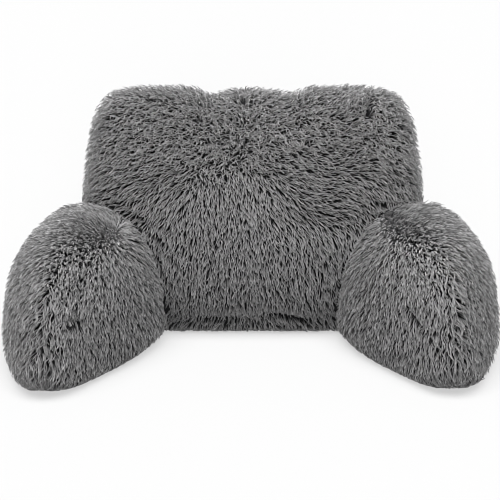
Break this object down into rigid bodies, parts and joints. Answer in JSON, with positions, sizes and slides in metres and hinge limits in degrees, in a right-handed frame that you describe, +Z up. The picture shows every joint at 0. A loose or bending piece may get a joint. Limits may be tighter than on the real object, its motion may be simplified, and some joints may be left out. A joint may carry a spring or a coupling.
{
  "type": "reading pillow with arms",
  "caption": "Filled backrest cushion with two arm bolsters in long-pile fabric, for sitting up against on a bed or floor.",
  "frame": {"origin": "centre of the pillow's box on the surface it stands on", "axes": "+Z up; +X across the pillow, towards the arm on the viewer's right; -Y is the side the reader leans against, where the arms reach forward"},
  "size_m": [0.803, 0.5464, 0.3976],
  "materials": {
    "fur": "matt long pile"
  },
  "bodies": {
    "root": {"backrest": "fur", "arm_left": "fur", "arm_right": "fur"}
  },
  "joints": []
}
